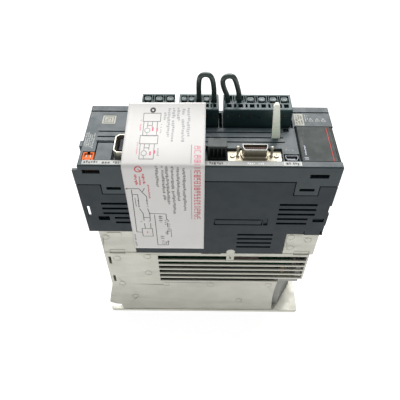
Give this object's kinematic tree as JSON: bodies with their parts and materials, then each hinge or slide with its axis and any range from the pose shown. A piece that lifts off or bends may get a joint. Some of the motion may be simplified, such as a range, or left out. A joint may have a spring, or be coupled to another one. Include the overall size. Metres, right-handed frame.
{
  "type": "servo drive",
  "caption": "Book-type servo drive with cast heat-sink frame, dark moulded housing, pull-out terminal plugs, port row, hinged display cover and a folded leaflet.",
  "frame": {"origin": "centre of the mounting back face", "axes": "+Z from the mounting face to the front panel, +X to the drive's top end, +Y to its left side"},
  "size_m": [0.1681, 0.0608, 0.2172],
  "materials": {
    "cast_aluminium": "as-cast, fine grain",
    "black_plastic": "moulded, matt",
    "zinc_steel": "zinc plated",
    "module_resin": "moulded resin",
    "circuit_board": "solder mask",
    "brass": "plain",
    "capacitor_sleeve": "shrink sleeve",
    "copper_brown": "varnished winding and ferrite",
    "display_black": "smooth",
    "white_plastic": "moulded",
    "switch_red": "moulded",
    "housing_dark": "fine spark-eroded texture",
    "housing_grey": "fine spark-eroded texture",
    "smoky_cover": "smoky, satin",
    "terminal_black": "moulded, slight sheen",
    "wire_jacket": "smooth PVC jacket",
    "cream_plastic": "moulded",
    "sto_grey": "moulded",
    "plated_shell": "nickel and gold-tinted plating",
    "connector_black": "moulded",
    "gold_contact": "gold plated",
    "orange_plastic": "moulded",
    "lamp_red": "tinted lens, unlit",
    "label_film": "printed film",
    "paper": "matt coated paper"
  },
  "bodies": {
    "chassis": {"heatsink": "cast_aluminium", "cast_wall_right": "cast_aluminium", "cast_wall_left": "cast_aluminium", "fan_frame": "black_plastic", "fan_screws": "zinc_steel", "power_module": "module_resin", "power_board": "circuit_board", "board_standoffs": "brass", "bus_capacitors": "capacitor_sleeve", "inrush_relay": "black_plastic", "control_transformer": "copper_brown", "control_board": "circuit_board", "interface_board": "circuit_board", "display_module": "display_black", "rotary_switch_body": "black_plastic", "dip_switch_body": "switch_red", "side_cover_right": "housing_dark", "side_cover_left": "housing_dark", "bottom_end_cover": "housing_dark", "top_end_cover": "housing_dark", "front_case": "housing_grey", "cover_hinge_pin": "zinc_steel", "main_header": "terminal_black", "control_header": "terminal_black", "motor_header": "terminal_black", "header_pins": "brass", "sto_socket": "terminal_black", "io_shell": "plated_shell", "io_insulator": "connector_black", "io_contacts": "gold_contact", "io_latch_posts": "plated_shell", "io_screws": "plated_shell", "usb_socket": "zinc_steel", "encoder_shell": "plated_shell", "encoder_insulator": "connector_black", "optical_sockets": "connector_black", "battery_socket": "orange_plastic", "port_blank": "housing_grey", "charge_lamp": "lamp_red", "earth_screws": "zinc_steel", "cover_screws": "zinc_steel", "port_label": "label_film", "caution_leaflet": "paper"},
    "fan_rotor": {"fan_rotor": "black_plastic"},
    "display_cover": {"display_cover": "smoky_cover"},
    "rotary_dial": {"rotary_switch_dial": "white_plastic"},
    "dip_1": {"dip_slider_1": "white_plastic"},
    "dip_2": {"dip_slider_2": "white_plastic"},
    "dip_3": {"dip_slider_3": "white_plastic"},
    "dip_4": {"dip_slider_4": "white_plastic"},
    "main_plug": {"main_plug": "terminal_black", "main_plug_contacts": "brass", "main_jumper": "wire_jacket"},
    "control_plug": {"control_plug": "terminal_black", "control_plug_contacts": "brass", "control_jumper": "wire_jacket"},
    "motor_plug": {"motor_plug": "terminal_black", "motor_plug_contacts": "brass"},
    "sto_plug": {"sto_plug": "sto_grey"},
    "terminal_tool": {"terminal_tool": "cream_plastic"}
  },
  "joints": [
    {"name": "fan_spin", "type": "hinge", "parent": "chassis", "child": "fan_rotor", "pos_m": [-0.058, 0, 0.0244], "axis": [1, 0, 0], "continuous": true},
    {"name": "display_cover_hinge", "type": "hinge", "parent": "chassis", "child": "display_cover", "pos_m": [0.0814, -0.008, 0.182], "axis": [0, 1, 0], "range_deg": [0, 105]},
    {"name": "rotary_turn", "type": "hinge", "parent": "chassis", "child": "rotary_dial", "pos_m": [0.072, -0.0004, 0.175], "axis": [0, 0, 1], "continuous": true},
    {"name": "dip_1_slide", "type": "slide", "parent": "chassis", "child": "dip_1", "axis": [1, 0, 0], "range_m": [0, 0.0016]},
    {"name": "dip_2_slide", "type": "slide", "parent": "chassis", "child": "dip_2", "axis": [1, 0, 0], "range_m": [0, 0.0016]},
    {"name": "dip_3_slide", "type": "slide", "parent": "chassis", "child": "dip_3", "axis": [1, 0, 0], "range_m": [0, 0.0016]},
    {"name": "dip_4_slide", "type": "slide", "parent": "chassis", "child": "dip_4", "axis": [1, 0, 0], "range_m": [0, 0.0016]},
    {"name": "main_plug_pull", "type": "slide", "parent": "chassis", "child": "main_plug", "axis": [0, 0, 1], "range_m": [0, 0.02]},
    {"name": "control_plug_pull", "type": "slide", "parent": "chassis", "child": "control_plug", "axis": [0, 0, 1], "range_m": [0, 0.02]},
    {"name": "motor_plug_pull", "type": "slide", "parent": "chassis", "child": "motor_plug", "axis": [0, 0, 1], "range_m": [0, 0.02]},
    {"name": "sto_plug_pull", "type": "slide", "parent": "chassis", "child": "sto_plug", "axis": [0, 0, 1], "range_m": [0, 0.016]},
    {"name": "terminal_tool_pull", "type": "slide", "parent": "chassis", "child": "terminal_tool", "axis": [0, 0, 1], "range_m": [0, 0.012]}
  ]
}
